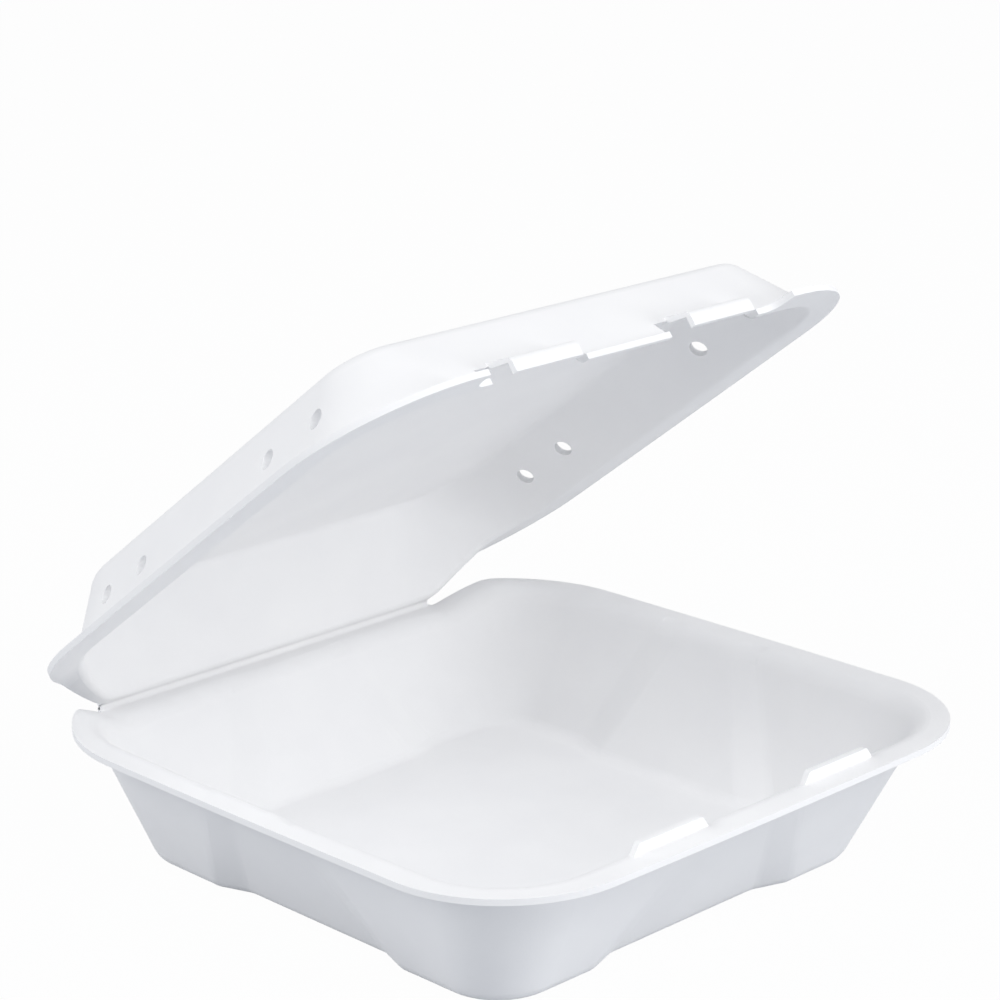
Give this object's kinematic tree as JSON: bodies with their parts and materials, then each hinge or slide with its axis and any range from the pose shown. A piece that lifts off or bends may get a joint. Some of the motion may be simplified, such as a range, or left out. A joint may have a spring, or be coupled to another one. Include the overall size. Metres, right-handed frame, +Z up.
{
  "type": "hinged foam food container",
  "caption": "Square takeaway box formed from one foam sheet: a panelled tray and a vented domed lid that swings on a dipped back crease and locks over tongues in front.",
  "frame": {"origin": "middle of the tray's underside, on the plane that it stands on", "axes": "+Z up; +X along the hinge, to the right seen from the front; +Y towards the hinge"},
  "size_m": [0.2264, 0.2385, 0.1905],
  "materials": {
    "foam": "soft matt white foam with a faint sheen"
  },
  "bodies": {
    "tray": {"tray": "foam", "hinge_strip": "foam"},
    "lid": {"lid": "foam"}
  },
  "joints": [
    {"name": "lid_hinge", "type": "hinge", "parent": "tray", "child": "lid", "pos_m": [0, 0.118, 0.0404], "axis": [-1, 0, 0], "range_deg": [-36, 144], "deforming": ["hinge_strip"]}
  ]
}
